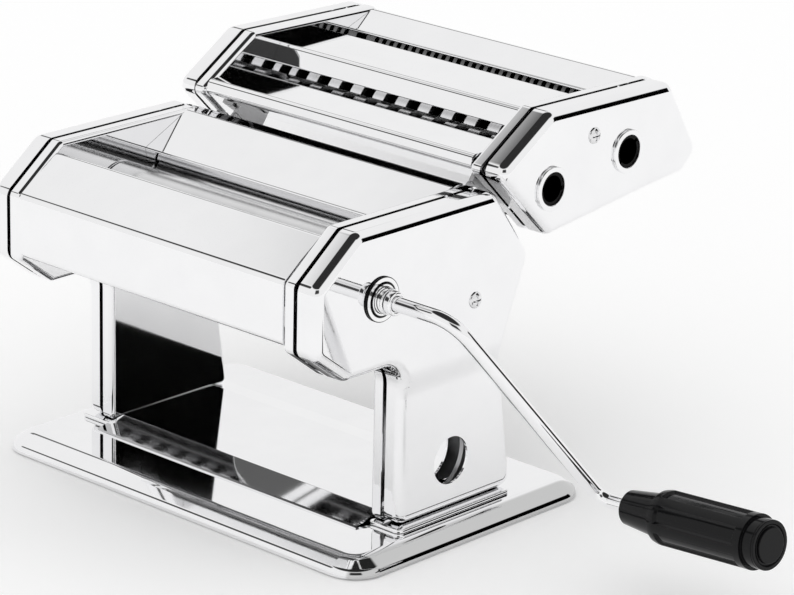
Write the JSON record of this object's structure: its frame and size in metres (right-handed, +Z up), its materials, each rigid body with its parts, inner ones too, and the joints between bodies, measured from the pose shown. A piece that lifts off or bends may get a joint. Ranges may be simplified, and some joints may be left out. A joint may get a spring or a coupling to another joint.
{
  "type": "pasta machine",
  "caption": "Hand cranked pasta machine: sheet rollers in a chromed body on a base pan, thickness dial, plug-in crank and a slide-on noodle cutter head.",
  "frame": {"origin": "middle of the base's footprint, on the table under the rubber feet", "axes": "+X towards the crank side, +Y towards the cutter head at the back, +Z up"},
  "size_m": [0.3595, 0.2283, 0.165],
  "materials": {
    "polished_steel": "mirror-polished chromed steel sheet",
    "roller_steel": "satin ground steel",
    "plate_steel": "zinc-bright steel",
    "gear_steel": "machined steel, oiled",
    "screw_steel": "chromed",
    "bush_nylon": "natural nylon",
    "black_plastic": "black gloss moulding",
    "scale_plastic": "pale printed disc",
    "foot_rubber": "matt black"
  },
  "bodies": {
    "frame": {"base_pan": "polished_steel", "rubber_feet": "foot_rubber", "base_screws": "screw_steel", "tie_plate": "polished_steel", "front_cover": "polished_steel", "feed_panel": "polished_steel", "rear_cover": "polished_steel", "side_frame_right": "plate_steel", "side_frame_left": "plate_steel", "inner_cover_right": "polished_steel", "inner_cover_left": "polished_steel", "cheek_cover_right": "polished_steel", "cheek_cover_left": "polished_steel", "cover_screws": "screw_steel", "tie_rods": "plate_steel", "roller_bushes": "bush_nylon", "scrapers": "plate_steel", "crank_boss": "polished_steel", "dial_plate": "scale_plastic", "head_guides": "plate_steel"},
    "front_roller": {"front_roller": "roller_steel", "roller_gear": "gear_steel", "pair_gear_front": "gear_steel"},
    "rear_carriage": {"bearing_blocks": "plate_steel", "carriage_rod": "plate_steel"},
    "rear_roller": {"rear_roller": "roller_steel", "pair_gear_rear": "gear_steel"},
    "drive_shaft": {"crank_socket": "gear_steel", "drive_pinion": "gear_steel"},
    "crank": {"crank_arm": "polished_steel", "crank_collar": "polished_steel", "grip_washer": "polished_steel"},
    "grip": {"grip": "black_plastic", "grip_cap": "black_plastic"},
    "dial": {"dial_cam": "plate_steel", "dial_spring": "plate_steel"},
    "knob": {"dial_knob": "black_plastic"},
    "cutter_head": {"cutter_frame_right": "plate_steel", "cutter_frame_left": "plate_steel", "cutter_inner_cover_right": "polished_steel", "cutter_inner_cover_left": "polished_steel", "cutter_cheek_right": "polished_steel", "cutter_cheek_left": "polished_steel", "cutter_screws": "screw_steel", "cutter_tie_rods": "plate_steel", "cutter_bushes": "bush_nylon", "socket_rings": "polished_steel", "cutter_front_panel": "polished_steel", "cutter_middle_panel": "polished_steel", "cutter_rear_panel": "polished_steel", "cutter_strippers": "plate_steel", "head_tongues": "plate_steel"},
    "wide_driven": {"wide_driven_roller": "roller_steel", "wide_driven_gear": "gear_steel"},
    "wide_idle": {"wide_idle_roller": "roller_steel", "wide_idle_gear": "gear_steel"},
    "narrow_driven": {"narrow_driven_roller": "roller_steel", "narrow_driven_gear": "gear_steel"},
    "narrow_idle": {"narrow_idle_roller": "roller_steel", "narrow_idle_gear": "gear_steel"}
  },
  "joints": [
    {"name": "crank_turn", "type": "hinge", "parent": "frame", "child": "drive_shaft", "pos_m": [0.09, -0.0465, 0.1098], "axis": [1, 0, 0], "continuous": true},
    {"name": "front_roller_spin", "type": "hinge", "parent": "frame", "child": "front_roller", "pos_m": [0, -0.026, 0.1098], "axis": [1, 0, 0], "continuous": true},
    {"name": "dial_turn", "type": "hinge", "parent": "frame", "child": "dial", "pos_m": [-0.09, 0.0046, 0.1098], "axis": [1, 0, 0], "range_deg": [0, 270]},
    {"name": "dial_pull", "type": "slide", "parent": "dial", "child": "knob", "axis": [-1, 0, 0], "range_m": [0, 0.004], "stiffness_N_per_m": 500, "springref_m": -0.003, "deforming": ["dial_spring"]},
    {"name": "carriage_slide", "type": "slide", "parent": "frame", "child": "rear_carriage", "axis": [0, -1, 0], "range_m": [0, 0.0023]},
    {"name": "rear_roller_spin", "type": "hinge", "parent": "rear_carriage", "child": "rear_roller", "pos_m": [0, 0.0046, 0.1098], "axis": [1, 0, 0], "continuous": true},
    {"name": "crank_pull", "type": "slide", "parent": "drive_shaft", "child": "crank", "axis": [1, 0, 0], "range_m": [0, 0.03]},
    {"name": "grip_spin", "type": "hinge", "parent": "crank", "child": "grip", "pos_m": [0.1588, 0.01169, 0.02971], "axis": [0.9927, -0.0709, 0.0976], "continuous": true},
    {"name": "cutter_head_slide", "type": "slide", "parent": "frame", "child": "cutter_head", "axis": [0, -0.5912, 0.8065], "range_m": [0, 0.045]},
    {"name": "wide_driven_spin", "type": "hinge", "parent": "cutter_head", "child": "wide_driven", "pos_m": [0, 0.0521, 0.1336], "axis": [1, 0, 0], "continuous": true},
    {"name": "wide_idle_spin", "type": "hinge", "parent": "cutter_head", "child": "wide_idle", "pos_m": [0, 0.069, 0.1336], "axis": [1, 0, 0], "continuous": true},
    {"name": "narrow_driven_spin", "type": "hinge", "parent": "cutter_head", "child": "narrow_driven", "pos_m": [0, 0.0991, 0.1398], "axis": [1, 0, 0], "continuous": true},
    {"name": "narrow_idle_spin", "type": "hinge", "parent": "cutter_head", "child": "narrow_idle", "pos_m": [0, 0.1155, 0.1398], "axis": [1, 0, 0], "continuous": true}
  ],
  "couplings": [
    {"joint": "front_roller_spin", "follows": "crank_turn", "ratio": -0.64},
    {"joint": "rear_roller_spin", "follows": "crank_turn", "ratio": 0.64},
    {"joint": "dial_turn", "follows": "carriage_slide", "rad_per_m": 2048.8},
    {"joint": "wide_idle_spin", "follows": "wide_driven_spin", "ratio": -1},
    {"joint": "narrow_idle_spin", "follows": "narrow_driven_spin", "ratio": -1}
  ]
}
